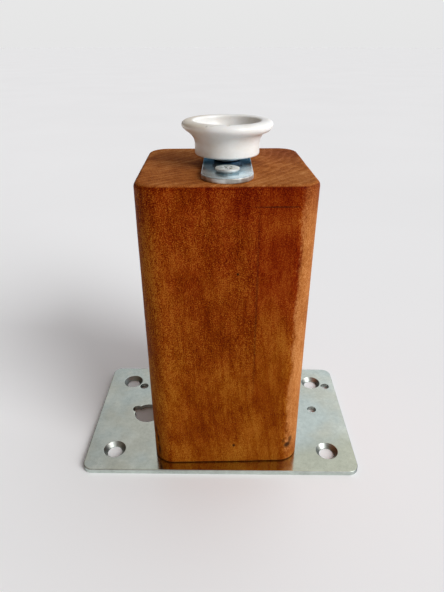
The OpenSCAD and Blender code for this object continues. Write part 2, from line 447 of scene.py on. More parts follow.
def post():
    centre, half, z_low, z_high = post_frame()
    into_post = Matrix.Rotation(-POST_TURN, 3, "Z")
    shape = Shape()
    walls = shape.loft(worn_loops(half, z_low, z_high))
    tops, bottoms = [walls[-1]], [walls[0]]
    wells = [("cup", WELL_R, WELL_DEPTH)]
    wells += [(node, STRAP_SCREW_R, z_high - node_span(node)[2] + MM) for node in STRAP_SCREWS]
    for node, r, depth in wells:
        spot = into_post @ (node_span(node)[0] - centre)
        end = z_high - depth
        tops.append(blind_hole(shape, spot, r, z_high, end, end - r * 0.3, 40))
    for node in PLATE_SCREWS:
        axis, _, _, top = node_span(node)
        spot = into_post @ (axis - centre)
        bottoms.append(blind_hole(shape, spot, PLATE_SCREW_R, z_low, top + MM, top + 2 * MM, 32))
    shape.sheet(tops)
    shape.sheet(bottoms)
    shape.place(Matrix.Translation(centre) @ Matrix.Rotation(POST_TURN, 4, "Z"))
    finish_piece(shape.to_object("post_timber"), "post", "stained_wood", sharp_angle=50)


# -------------------- strap

def strap():
    low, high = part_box("strap")
    axis = node_span("cup")[0]
    end_r = STRAP_W / 2
    half_l = STRAP_L / 2
    burr = 0.2 * MM

    def outline(inset):
        r = end_r - inset
        rear = arc((0, half_l - end_r), (r, r), 0, 180, 40)
        front = arc((0, end_r - half_l), (r, r), 180, 360, 40)
        return rear + front

    seat_h = STRAP_SEAT_R - STRAP_SCREW_R
    seat = (
        (STRAP_SCREW_R + burr, low.z), (STRAP_SCREW_R, low.z + burr),
        (STRAP_SEAT_R, low.z + burr + seat_h), (STRAP_SEAT_R + burr, high.z),
    )
    clear = (
        (STRAP_HOLE_R + burr, low.z), (STRAP_HOLE_R, low.z + burr),
        (STRAP_HOLE_R, high.z - burr), (STRAP_HOLE_R + burr, high.z),
    )
    holes = [rings(seat, 48, (0, side * STRAP_SCREW_Y)) for side in (-1, 1)]
    holes.append(rings(clear, 48))
    profile = edge_profile(low.z, high.z, 0.3 * MM, 0.5 * MM, 5)
    shape = flat_part(outline, profile, holes)
    shape.place(Matrix.Translation(axis) @ Matrix.Rotation(STRAP_TURN, 4, "Z"))
    finish_piece(shape.to_object("strap_steel"), "strap", "zinc_strap")


# -------------------- screws

def cross_cutter(top, span, slot, depth, matrix):
    """A tapered cross-shaped punch that sinks from above top to depth below it."""
    def plus(half_span, half_slot, z):
        quarter = ((half_span, -half_slot), (half_span, half_slot), (half_slot, half_slot))
        points = []
        for k in range(4):
            spin = Matrix.Rotation(math.pi / 2 * k + math.pi / 4, 2)
            points += [tuple(spin @ Vector(p)) + (z,) for p in quarter]
        return points

    shape = Shape()
    above = 0.3 * MM
    loops = shape.loft((
        plus(span / 2 + above * 0.3, slot / 2 + above * 0.1, top + above),
        plus(span / 2, slot / 2, top), plus(span * 0.3, slot * 0.36, top - depth * 0.85),
        plus(span * 0.16, slot * 0.3, top - depth),
    ))
    shape.fan(loops[0], (0, 0, top + above))
    shape.fan(loops[-1], (0, 0, top - depth * 1.1))
    shape.place(matrix)
    return shape.to_object("punch")


def tick_cutters(top, inner, outer, matrix):
    """Four thin radial grooves between the arms of the cross."""
    cutters = []
    half_w, depth, above = 0.16 * MM, 0.18 * MM, 0.2 * MM
    for k in range(4):
        shape = Shape()
        corners = ((inner, -half_w), (outer, -half_w), (outer, half_w), (inner, half_w))
        for end in shape.loft([with_z(corners, z) for z in (top - depth, top + above)]):
            shape.bm.faces.new(end)
        shape.place(matrix @ Matrix.Rotation(math.pi / 2 * k, 4, "Z"))
        cutters.append(shape.to_object("tick"))
    return cutters


def thread_radius(root, crest, pitch, z, angle):
    """Radius of a right-hand thread with a narrow crest."""
    phase = (z / pitch - angle / (2 * math.pi)) % 1
    ridge = max(0, 1 - abs(phase - 0.5) / 0.34)
    return root + (crest - root) * ridge


def threaded_loops(z_top, z_low, pitch, segments, root_at, crest_at, centre=(0, 0), per_turn=9):
    """Loops down a threaded wall, with root and crest radii given as functions of z."""
    count = math.ceil((z_top - z_low) / pitch * per_turn)
    loops = []
    for i in range(count + 1):
        z = z_top + (z_low - z_top) * i / count
        radius_at = partial(thread_radius, root_at(z), crest_at(z), pitch, z)
        loops.append(level_loop(radius_at, segments, z, centre))
    return loops


def screw(node, head, thread, matrix, recess, ticks):
    """A screw from its head's (radius, z) points and its shank's loops, with a punched recess."""
    top = head[0][1]
    shape = Shape()
    loops = shape.loft(rings(head, len(thread[0])) + thread)
    shape.fan(loops[0], (0, 0, top))
    shape.fan(loops[-1], (0, 0, thread[-1][0][2]))
    shape.place(matrix)
    piece = shape.to_object(node + "_steel")
    cut(piece, [cross_cutter(top, *recess, matrix)] + tick_cutters(top, *ticks, matrix))
    finish_piece(piece, node, "zinc_screw", sharp_angle=32)


def wood_screw(node, shank_r, rim, point_up):
    """Countersunk screw with a rim under its flat top, a short plain neck and a tapered thread."""
    axis, head_r, low, high = node_span(node)
    length = high - low
    edge = 0.15 * MM
    neck = 3 * MM
    tip = 6 * MM
    root_share, crest_share = 0.7, 1.04
    neck_share = 0.98
    cone_low = -rim - (head_r - shank_r)
    thread_top = cone_low - neck
    head = [(head_r * 0.35, 0), (head_r * 0.7, 0), (head_r - edge * 2, 0)]
    head += arc((head_r - edge, -edge), (edge, edge), 90, 0, 3)
    head += [(head_r, -rim - edge), (shank_r + edge, cone_low + edge * 0.6), (shank_r, cone_low - edge)]
    head += [(shank_r * neck_share, thread_top)]

    def taper(z):
        return min(1, max(0.02, (z + length) / tip)) ** 0.7

    def ramp_in(z):
        return min(1, (thread_top - z) / (2 * MM))

    def root_at(z):
        return shank_r * (neck_share - (neck_share - root_share) * ramp_in(z)) * taper(z)

    def crest_at(z):
        return root_at(z) + shank_r * (crest_share - root_share) * ramp_in(z) * min(1, taper(z) * 1.1)

    thread = threaded_loops(thread_top, -length, WOOD_PITCH, 40, root_at, crest_at)
    flip = Matrix.Rotation(math.pi if point_up else 0, 4, "X")
    matrix = Matrix.Translation((axis.x, axis.y, low if point_up else high)) @ flip
    recess = (head_r, head_r * 0.26, head_r * 0.42)
    screw(node, head, thread, matrix, recess, (head_r * 0.28, head_r * 0.62))


def cup_screw():
    """Machine screw with a domed head."""
    axis, head_r, low, high = node_span("cup_screw")
    shank_r, seat = CUP_SCREW_R, high - CUP_SCREW_HEAD_H
    dome_r = 1.8 * MM
    edge = 0.15 * MM
    tip = 0.8 * MM
    head = [(head_r * 0.4, high), (head_r - dome_r, high)]
    head += arc((head_r - dome_r, high - dome_r), (dome_r, dome_r), 80, 0, 7)
    head += [(head_r, seat + edge), (head_r - edge, seat)]
    head += [(shank_r + edge * 2, seat), (shank_r, seat - edge * 2)]

    def crest_at(z):
        return shank_r - max(0, tip - (z - low))

    def root_at(z):
        return min(shank_r * 0.85, crest_at(z))

    thread = threaded_loops(seat - MM, low, MACHINE_PITCH, 48, root_at, crest_at)
    recess = (6 * MM, 1.5 * MM, 1.8 * MM)
    screw("cup_screw", head, thread, Matrix.Translation(axis), recess, (1.6 * MM, 3.2 * MM))


# -------------------- nuts and washers

def weld_nut():
    """Chamfered hexagon nut with a threaded bore, under the strap."""
    low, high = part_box("weld_nut")
    axis = ((low + high) / 2).to_2d()
    apothem, corner_r = (high.y - low.y) / 2, (high.x - low.x) / 2
    segments, crest_r, root_r = 72, 3.0 * MM, 3.3 * MM
    chamfer = 0.9 * MM

    def hexagon(z):
        limit = corner_r - max(0, chamfer - min(z - low.z, high.z - z)) * 1.6

        def radius_at(angle):
            return min(limit, apothem / math.cos(angle % (math.pi / 3) - math.pi / 6))

        return level_loop(radius_at, segments, z, axis)

    h = high.z - low.z
    outer = [hexagon(low.z + h * f) for f in (0, 0.06, 0.12, 0.18, 0.5, 0.82, 0.88, 0.94, 1)]
    bore = threaded_loops(
        high.z, low.z, MACHINE_PITCH, segments, lambda _: root_r, lambda _: crest_r, axis, per_turn=8
    )
    shape = Shape()
    shape.loft(outer + bore, closed=True)
    finish_piece(shape.to_object("weld_nut_steel"), "weld_nut", "zinc_nut")


def ring_part(node, material, edge, wobble=0.0):
    """A washer with rounded edges. A soft one is a little uneven."""
    axis, r_out, low, high = node_span(node)
    r_middle = (CLEAR_R + r_out) / 2
    loops = rings(ring_section(CLEAR_R, r_out, low, high, edge), 96, axis)
    for points in loops:
        for i, (x, y, z) in enumerate(points):
            out = Vector((x - axis.x, y - axis.y))
            dent = wobble * abs(noise.noise(Vector((x, y, z * 0.2)) / (2.5 * MM)))
            if out.length > r_middle:
                out *= 1 - dent / out.length
            points[i] = (axis.x + out.x, axis.y + out.y, z)
    shape = Shape()
    shape.loft(loops, closed=True)
    finish_piece(shape.to_object(node + "_ring"), node, material)


def round_nut():
    """Round nut with chamfered rims and two fine turned grooves."""
    axis, r_out, low, high = node_span("round_nut")
    r_in, edge, groove = 3.0 * MM, 0.3 * MM, 0.08 * MM
    h = high - low
    outer = [(r_out - edge, low), (r_out, low + edge)]
    for f in (0.36, 0.64):
        z = low + h * f
        outer += [(r_out, z - groove * 2), (r_out - groove, z - groove), (r_out - groove, z + groove)]
        outer += [(r_out, z + groove * 2)]
    outer += [(r_out, high - edge), (r_out - edge, high), (r_in + edge, high), (r_in, high - edge)]
    outer += [(r_in, low + edge), (r_in + edge, low)]
    shape = Shape()
    shape.loft(rings(outer, 80, axis), closed=True)
    finish_piece(shape.to_object("round_nut_steel"), "round_nut", "zinc_nut")


def spring_washer():
    """Square-section split ring, its slit sheared to one side."""
    axis, r_out, low, high = node_span("spring_washer")
    slit, shear = 0.9 * MM, math.tan(math.radians(20))
    section = ring_section(CLEAR_R, r_out, low, high, 0.12 * MM)
    opening = slit / 2 / r_out
    steps = 90
    middle = (low + high) / 2
    sections = []
    for i in range(steps + 1):
        angle = opening + (2 * math.pi - 2 * opening) * i / steps
        sections.append([(*polar(axis, r, angle - (z - middle) * shear / r), z) for r, z in section])
    shape = Shape()
    walls = shape.loft(sections)
    shape.bm.faces.new(walls[0])
    shape.bm.faces.new(walls[-1])
    finish_piece(shape.to_object("spring_washer_steel"), "spring_washer", "spring_steel")


# -------------------- cup

def cup_profile(rim_r, low, high):
    """The cup's closed section: foot, cove, round rim, mouth, floor, bore and the recess below."""
    height = high - low
    crown_r = (rim_r + CUP_MOUTH_R) / 2
    wide = height - 1.6 * MM
    foot = 0.8 * MM
    floor_r, fillet = CUP_FOOT_R - 2 * MM, 1.8 * MM
    soft = 0.3 * MM
    section = arc((CUP_FOOT_R - foot, foot), (foot, foot), 270, 360, 8)
    section += cubic(
        (CUP_FOOT_R, 4 * MM), (CUP_FOOT_R, wide - 2.9 * MM), (rim_r, wide - 2.5 * MM), (rim_r, wide), 44
    )
    section += arc((crown_r, wide), (rim_r - crown_r, height - wide), 6, 90, 14)
    section += cubic(
        (crown_r - 0.3 * MM, height), (crown_r - 1.7 * MM, height - 0.05 * MM),
        (CUP_MOUTH_R, height - 0.1 * MM), (CUP_MOUTH_R, height - 1.2 * MM), 14,
    )
    section += cubic(
        (CUP_MOUTH_R - 0.05 * MM, height - 2 * MM), (CUP_MOUTH_R - 0.3 * MM, height - 4 * MM),
        (floor_r + 0.4 * MM, CUP_FLOOR_H + 4 * MM), (floor_r, CUP_FLOOR_H + fillet), 10,
    )
    section += arc((floor_r - fillet, CUP_FLOOR_H + fillet), (fillet, fillet), -8, -90, 8)
    section += [(CUP_BORE_R + 3 * MM, CUP_FLOOR_H), (CUP_BORE_R + soft, CUP_FLOOR_H)]
    section += [(CUP_BORE_R, CUP_FLOOR_H - soft), (CUP_BORE_R, CUP_RECESS_H)]
    section += [(CUP_RECESS_R, CUP_RECESS_H), (CUP_RECESS_R, soft), (CUP_RECESS_R + soft, 0)]
    return [(r, low + z) for r, z in section]


def cup():
    """Turned by hand: a little out of round, with a nick in the lip and a crease under the rim."""
    axis, rim_r, low, high = node_span("cup")
    nick_at, crease_at = math.radians(-90), math.radians(-42)
    lip_inner_r = (rim_r + CUP_MOUTH_R) / 2 + 0.9 * MM
    loops = rings(cup_profile(rim_r, low, high), 256, axis)
    for points in loops:
        for i, (x, y, z) in enumerate(points):
            out = Vector((x - axis.x, y - axis.y))
            r, angle = out.length, math.atan2(y - axis.y, x - axis.x)
            inward = 0.0
            if r > CUP_RECESS_R + MM:
                inward += 0.07 * MM * (1 + noise.noise(Vector((out.x, out.y, z * 2)) / (9 * MM)))
            if r > CUP_FOOT_R:
                side = max(0, math.cos(1.6 * (angle - crease_at)))
                below = low + CREASE_H - z
                fade = math.exp(-(below / (2.0 * MM)) ** 2)
                inward += CREASE_DEPTH * side * math.tanh(below / CREASE_W) * fade
            drop = 0.0
            turn = (angle - nick_at + math.pi) % (2 * math.pi) - math.pi
            if z > high - 2.2 * MM and r < lip_inner_r:
                drop = NICK_DEPTH * math.exp(-((turn * r) / NICK_W) ** 2)
            scale = (r - inward + drop) / r
            points[i] = (axis.x + out.x * scale, axis.y + out.y * scale, z - drop)
    shape = Shape()
    shape.loft(loops, closed=True)
    finish_piece(shape.to_object("cup_porcelain"), "cup", "porcelain", sharp_angle=55)


# -------------------- materials

class Nodes:
    """A node tree, with one short method for each kind of node. Inputs are numbers, tuples or sockets."""

    def __init__(self, tree):
        self.nodes, self.links = tree.nodes, tree.links

    def put(self, socket, value):
        if isinstance(value, bpy.types.NodeSocket):
            self.links.new(value, socket)
        else:
            socket.default_value = value

    def add(self, kind, inputs, output=0, **settings):
        """Adds a node with its settings and inputs, and returns one of its outputs."""
        node = self.nodes.new("ShaderNode" + kind)
        for name, value in settings.items():
            setattr(node, name, value)
        for name, value in inputs.items():
            self.put(node.inputs[name], value)
        return node.outputs[output]

    def math(self, operation, a, b=0.0, clamp=False):
        return self.add("Math", {0: a, 1: b}, operation=operation, use_clamp=clamp)

    def plus(self, a, b):
        return self.math("ADD", a, b)

    def times(self, first, *others):
        """Product of all its inputs."""
        for other in others:
            first = self.math("MULTIPLY", first, other)
        return first

    def total(self, *parts, base=None):
        """Sum of (value, weight, middle): each part adds weight times its distance from middle.

        With a base, the sum starts from there and is held between 0 and 1.
        """
        result = None
        for value, weight, middle in parts:
            part = self.times(self.math("SUBTRACT", value, middle), weight)
            result = part if result is None else self.plus(result, part)
        return result if base is None else self.math("ADD", result, base, clamp=True)

    def vector(self, operation, a, b=(0, 0, 0)):
        output = "Value" if operation in ("LENGTH", "DOT_PRODUCT") else "Vector"
        return self.add("VectorMath", {0: a, 1: b}, output, operation=operation)

    def split(self, vector):
        return self.add("SeparateXYZ", {0: vector}, slice(3))

    def remap(self, value, low, high, to_low=0.0, to_high=1.0):
        """A smooth step from to_low to to_high as value goes from low to high."""
        inputs = {"Value": value, "From Min": low, "From Max": high, "To Min": to_low, "To Max": to_high}
        return self.add("MapRange", inputs, interpolation_type="SMOOTHSTEP")

    def ramp(self, value, *stops):
        """Colour along stops of (place, colour)."""
        node = self.nodes.new("ShaderNodeValToRGB")
        self.put(node.inputs["Fac"], value)
        elements = node.color_ramp.elements
        for element, (place, colour) in zip((elements[0], elements[1]), (stops[0], stops[-1])):
            element.position = place
            element.color = (*colour, 1)
        for place, colour in stops[1:-1]:
            elements.new(place).color = (*colour, 1)
        return node.outputs["Color"]

    def mix(self, factor, a, b, blend="MIX"):
        a, b = [(*value, 1) if isinstance(value, tuple) else value for value in (a, b)]
        return self.add("Mix", {0: factor, 6: a, 7: b}, 2, data_type="RGBA", blend_type=blend)


class Shader(Nodes):
    """A material's nodes. Patterns lie in object space, in millimetres."""

    def __init__(self, name):
        self.material = bpy.data.materials.new(name + "_look")
        self.material.use_nodes = True
        super().__init__(self.material.node_tree)
        self.surface = self.nodes["Principled BSDF"]

    def set(self, **values):
        """Sets the surface's own sockets: spaces in their names are written as underscores."""
        for name, value in values.items():
            self.put(self.surface.inputs[name.replace("_", " ")], value)

    def millimetres(self, centre=(0, 0, 0), turn=0.0):
        """Object coordinates in millimetres about a centre, turned about Z."""
        place = {"Location": centre, "Rotation": (0, 0, turn), "Scale": (MM, MM, MM)}
        place["Vector"] = self.add("TexCoord", {}, "Object")
        return self.add("Mapping", place, vector_type="TEXTURE")

    def turned(self, vector, degrees):
        inputs = {"Vector": vector, "Angle": math.radians(degrees)}
        return self.add("VectorRotate", inputs, rotation_type="Z_AXIS")

    def scaled(self, vector, size):
        """The vector in steps of size: one number, or one each for X, Y and Z."""
        return self.vector("DIVIDE", vector, size if isinstance(size, tuple) else (size, size, size))

    def noise(self, vector, size, detail=2.0, roughness=0.5, output="Fac"):
        """Noise whose features are about size millimetres."""
        inputs = {"Vector": self.scaled(vector, size), "Scale": 1, "Detail": detail, "Roughness": roughness}
        return self.add("TexNoise", inputs, output)

    def cells(self, vector, size):
        """Distance to the nearest of scattered points, about size millimetres apart."""
        return self.add("TexVoronoi", {"Vector": self.scaled(vector, size), "Scale": 1}, "Distance")

    def blob(self, vector, centre, radii):
        """1 at a point, falling to 0 at the surface of an ellipsoid round it."""
        away = self.scaled(self.vector("SUBTRACT", vector, centre), radii)
        return self.remap(self.vector("LENGTH", away), 1.0, 0.25)

    def bump(self, height, depth):
        """Relief of the given depth in millimetres."""
        self.set(Normal=self.add("Bump", {"Strength": 1, "Distance": depth * MM, "Height": height}))

    def normal(self):
        """X, Y and Z of the way that the face looks."""
        return self.split(self.add("NewGeometry", {}, "Normal"))


class Timber(Shader):
    """The patterns of a close-grained, stained hardwood, about the post's axis and turned with it."""

    def __init__(self):
        super().__init__("stained_wood")
        q = self.q = self.millimetres(post_frame()[0], POST_TURN)
        self.x, self.y, self.z = self.split(q)
        self.rise = self.normal()[2]
        self.top = self.remap(self.rise, 0.58, 0.90)
        self.blotch = self.noise(q, (17, 17, 30), 4, 0.6)
        self.cloud = self.noise(self.vector("ADD", q, (70, 30, 10)), (6, 6, 10), 3, 0.6)
        self.fibre = self.noise(q, (0.45, 0.45, 2.0), 2, 0.6)
        self.fleck = self.noise(self.vector("ADD", q, (9, 5, 3)), (1.1, 1.1, 1.9), 2, 0.55)
        self.speck = self.noise(q, (0.36, 0.36, 0.44), 2, 0.6)
        self.pores = self.remap(self.cells(q, (0.75, 0.75, 2.2)), 0.12, 0.34)
        self.lines = self.noise(self.turned(q, -38), (9, 0.42, 9), 2, 0.6)
        self.grow()

    def grow(self):
        """Adds growth rings and streaks about a pith outside the block, which leans with height."""
        sway = self.noise(self.q, (30, 30, 80), 2, output="Color")
        swayed = self.vector("ADD", self.q, self.vector("MULTIPLY", sway, (14, 14, 0)))
        from_pith = self.vector("MULTIPLY", self.vector("ADD", swayed, RING_PITH), (1, 1, 0))
        leaning = self.plus(self.vector("LENGTH", from_pith), self.times(self.z, 0.10))
        ring = self.math("FRACT", self.math("DIVIDE", leaning, RING_WIDTH))
        self.late = self.times(self.remap(ring, 0.35, 0.9), self.remap(ring, 1.0, 0.93))
        self.streak = self.noise(swayed, (1.2, 1.2, 30), 4, 0.65)


def side_grain(s):
    """Fine grain, weaker on the right and toward the foot."""
    grain = s.total((s.fibre, 0.62, 0.5), (s.speck, 2.9, 0.5), (s.fleck, 0.40, 0.5), (s.pores, 0.14, 0.9))
    calm = s.times(s.remap(s.x, 11, 13), s.remap(s.z, 20, 45))
    strength = s.math("SUBTRACT", 1, s.times(calm, 0.3))
    return s.times(grain, strength, s.remap(s.z, 25, 85, 0.78, 1.0))


def wood_sides(s):
    """Colour of the upright faces, with painted light on the left edge and painted shade on the top arris.
    """
    q, x, y, z = s.q, s.x, s.y, s.z
    ruddy = s.blob(q, (23, -36, 112), (19, 30, 50))
    head = s.blob(q, (11, -36, 135), (27, 14, 14))
    foot_band = s.times(s.remap(z, 21, 11), s.remap(y, -20, -34))
    # painted shade: the rounded edge under the top is darkened into a dark line
    painted_arris_shade = s.times(s.remap(s.rise, 0.02, 0.30), s.remap(s.rise, 0.80, 0.55))
    tone = s.total(
        (s.blotch, 1.15, 0.5), (s.cloud, 0.64, 0.5), (s.streak, 0.45, 0.5),
        (side_grain(s), 1, 0), (s.late, -0.08, 0.3), (ruddy, 0.05, 0), (head, -0.13, 0),
        # painted light: the left edge (x from -27 to -33) is made lighter to lift the shade on that side
        (foot_band, 0.12, 0), (s.remap(x, -27, -33), 0.10, 0), (painted_arris_shade, -0.14, 0),
        *((s.blob(q, place, radii), weight, 0) for place, radii, weight in STAIN_PATCHES),
        base=0.52,
    )
    tan = s.ramp(
        tone, (0.0, (0.080, 0.0080, 0.0003)), (0.3, (0.154, 0.022, 0.0004)),
        (0.5, (0.214, 0.042, 0.0009)), (0.72, (0.290, 0.078, 0.0040)), (1.0, (0.40, 0.158, 0.016)),
    )
    russet = s.ramp(
        tone, (0.0, (0.067, 0.0031, 0.0003)), (0.3, (0.122, 0.0078, 0.0004)),
        (0.5, (0.176, 0.0155, 0.0007)), (0.72, (0.246, 0.036, 0.0026)), (1.0, (0.35, 0.092, 0.010)),
    )
    redden = s.total(
        (s.remap(z, 20, 135), 0.75, 0), (ruddy, 0.5, 0), (head, 0.8, 0), (s.cloud, 1.2, 0.5),
        # painted light: the left edge is also made less red, to lift its shade
        (s.remap(x, -26, -31), -0.35, 0), base=0.05,
    )
    # colour of the paler front right edge: partly rubbed finish, partly painted sheen
    pale = s.ramp(
        tone, (0.0, (0.22, 0.062, 0.012)), (0.5, (0.42, 0.140, 0.030)), (1.0, (0.62, 0.28, 0.10))
    )
    return s.mix(s.times(rubbed_edge_and_sheen(s), 0.9), s.mix(redden, tan, russet), pale)


def rubbed_edge_and_sheen(s):
    """1 where the front right edge is paler: the finish is rubbed thin there, and painted sheen stands for
    the light from the right.
    """
    inner = s.plus(s.plus(s.x, s.times(s.cloud, 6)), s.times(s.fleck, 3))
    along = s.times(s.remap(s.z, 139, 118, 0.35, 1.0), s.remap(s.z, 6, 16, 0.2, 1.0))
    return s.times(s.remap(inner, 31.6, 34.4), s.remap(s.y, -22, -29), along)


def end_grain(s):
    """Colour of the top, where rings show as arcs, with sanding lines across them."""
    cross = s.noise(s.turned(s.q, 72), (7, 0.5, 9), 2, 0.6)
    tone = s.total(
        (s.blotch, 0.8, 0.5), (s.cloud, 0.6, 0.5), (s.lines, 0.55, 0.5), (cross, 0.25, 0.5),
        (s.speck, 1.1, 0.5), (s.fleck, 0.4, 0.5), (s.late, 0.14, 0.3), base=0.53,
    )
    end = s.ramp(
        tone, (0.0, (0.122, 0.028, 0.0060)), (0.35, (0.248, 0.068, 0.0130)),
        (0.6, (0.370, 0.122, 0.0280)), (1.0, (0.57, 0.26, 0.09)),
    )
    back_right = s.times(s.remap(s.x, 2, 24), s.remap(s.y, -8, 22))
    return s.mix(s.times(back_right, 0.8), end, (0.66, 0.50, 0.62), "MULTIPLY")


def stained_wood():
    """The timber's faces, with dark marks, and painted shade along the foot where it meets the plate."""
    s = Timber()
    colour = s.mix(s.top, wood_sides(s), end_grain(s))
    for place, radii, _, dark in MARKS:
        mark = s.times(s.blob(s.q, place, radii), dark)
        colour = s.mix(mark, colour, (0.020, 0.006, 0.003))
    # painted shade: the first millimetre of the post above the plate is darkened where it meets the plate
    colour = s.mix(s.remap(s.z, 3.6, 2.4, 0, 0.7), colour, (0.03, 0.008, 0.003))
    rough = s.total((s.speck, 0.5, 0.5), (s.blotch, 0.3, 0.5), (s.top, 0.3, 0), base=0.46)
    s.set(Base_Color=colour, Specular_IOR_Level=0.015, Roughness=rough)
    sanded = s.times(s.lines, s.top)
    s.bump(s.total((s.fibre, 0.6, 0.5), (s.speck, 0.5, 0.5), (s.pores, 0.5, 1.0), (sanded, 0.5, 0)), 0.09)
    return s.material


def plate_tint(s, q, drift, colour):
    """The plate's plating is yellower along its front edge."""
    x, y, _ = s.split(q)
    slant = s.math("SUBTRACT", y, s.times(x, 0.22))
    front = s.remap(s.plus(slant, s.times(drift, 16)), -17, -31, 0, 0.85)
    return s.mix(front, colour, (0.60, 0.61, 0.47))


def plate_edges_painted_light(s, colour):
    """Painted shade darkens the plate's side edges, and painted light makes its front edge paler."""
    x, y, _ = s.normal()
    side = s.remap(s.math("ABSOLUTE", x), 0.35, 0.75)
    # painted shade on the side edges
    colour = s.mix(s.times(side, 0.75), colour, (0.10, 0.12, 0.12))
    # painted light on the front edge
    return s.mix(s.times(s.remap(y, -0.5, -0.85), 0.6), colour, (0.66, 0.76, 0.73))


def strap_painted_reflection(s, q, drift, colour):
    """Painted reflection on the blue strap: painted dark shade near the cup, for its shaded underside seen
    in the strap, and a painted glint behind the front screw.

    A painted sheen lies to the screw's right, where the strap is made less metallic.
    """
    centre = node_span("cup")[0] / MM
    centre.z = node_span("strap")[3] / MM
    offset = s.vector("MULTIPLY", s.vector("SUBTRACT", q, tuple(centre)), (0.4, 1, 1))
    away = s.plus(s.vector("LENGTH", offset), s.times(drift, 4))
    spot = s.blob(q, (centre.x + 4.2, centre.y - 8.4, centre.z), (3.2, 5.5, 3.0))
    painted_sheen = s.blob(q, (centre.x + 8.5, centre.y - 18.5, centre.z), (7.5, 8.0, 5.0))
    # painted reflection: bluer and lighter round the cup, and painted dark shade close to it
    wide, close = s.remap(away, 21, 12), s.remap(away, 15, 9)
    colour = s.mix(s.times(wide, 0.8), colour, (0.42, 0.76, 0.86))
    colour = s.mix(s.times(close, 0.97), colour, (0.0005, 0.05, 0.15))
    # painted glint: a bright blue spot behind the front screw
    colour = s.mix(s.times(spot, 0.85), colour, (0.12, 0.50, 0.90))
    dimmed_reflection = s.math("SUBTRACT", close, spot, clamp=True)
    # painted shade: the strap reflects less near the cup
    s.set(Specular_Tint=s.mix(dimmed_reflection, (1.0, 1.0, 1.0), (0.36, 0.50, 0.56)))
    # painted sheen: less metal to the screw's right, so that patch looks lighter
    s.set(Metallic=s.math("SUBTRACT", 1, s.times(painted_sheen, 0.55)))
    return colour


def zinc(name, warm, cool, pale, dull, worn_and_glint, roughness, spread, relief, size, tint=None, edges=None):
    """Bright zinc plating: slow drifts of tint, fine mottling, wipe marks, and duller cut faces. On the
    strap the cut faces' colours are painted reflection of the wood and painted glints.
    """
    s = Shader(name)
    s.set(Metallic=1.0)
    q = s.millimetres()
    drift = s.noise(q, (30 * size, 26 * size, 30 * size), 3, 0.55)
    patch = s.noise(s.vector("ADD", q, (11, 43, 5)), (13 * size, 15 * size, 13 * size), 3, 0.6)
    mottle = s.noise(q, 1.6 * size, 3, 0.65)
    fine = s.noise(q, 0.35, 2, 0.6)
    wipes = s.noise(s.turned(q, 64), (11 * size, 0.7 * size, 11 * size), 3, 0.65)
    streaks = s.noise(q, (4, 4, 9), 2, 0.5)
    colour = s.mix(s.remap(drift, 0.38, 0.62), warm, cool)
    colour = s.mix(s.remap(patch, 0.5, 0.75, 0, 0.7), colour, pale)
    if tint:
        colour = tint(s, q, drift, colour)
    cut_face = s.remap(s.math("ABSOLUTE", s.normal()[2]), 0.93, 0.75)
    colour = s.mix(s.times(cut_face, 0.75), colour, s.ramp(streaks, (0.38, dull), (0.62, worn_and_glint)))
    if edges:
        colour = edges(s, colour)
    shade = s.plus(s.total((mottle, 0.34, 0.5), (fine, 0.12, 0.5), (patch, 0.45, 0.5)), 1.0)
    grey = s.add("CombineColor", {0: shade, 1: shade, 2: shade})
    rough = s.total(
        (mottle, spread, 0.5), (s.remap(wipes, 0.55, 0.75), spread * 0.9, 0), (patch, spread, 0.5),
        (cut_face, 0.32, 0), base=roughness,
    )
    s.set(Base_Color=s.mix(1.0, colour, grey, "MULTIPLY"), Roughness=rough)
    s.bump(s.total((patch, 6.0, 0.5), (mottle, 0.5, 0.5), (fine, 0.12, 0.5)), relief)
    return s.material


def spring_steel():
    """Dull grey phosphated spring steel with rubbed spots."""
    s = Shader("spring_steel")
    q = s.millimetres()
    mottle = s.noise(q, 0.8, 3, 0.6)
    rubbed = s.remap(s.noise(q, 2.2, 3, 0.7), 0.52, 0.66)
    dull = s.ramp(mottle, (0.3, (0.16, 0.16, 0.17)), (0.7, (0.27, 0.27, 0.28)))
    s.set(Base_Color=s.mix(rubbed, dull, (0.5, 0.5, 0.5)), Metallic=1.0)
    s.set(Roughness=s.total((mottle, 0.3, 0.5), base=0.42))
    s.bump(mottle, 0.02)
    return s.material


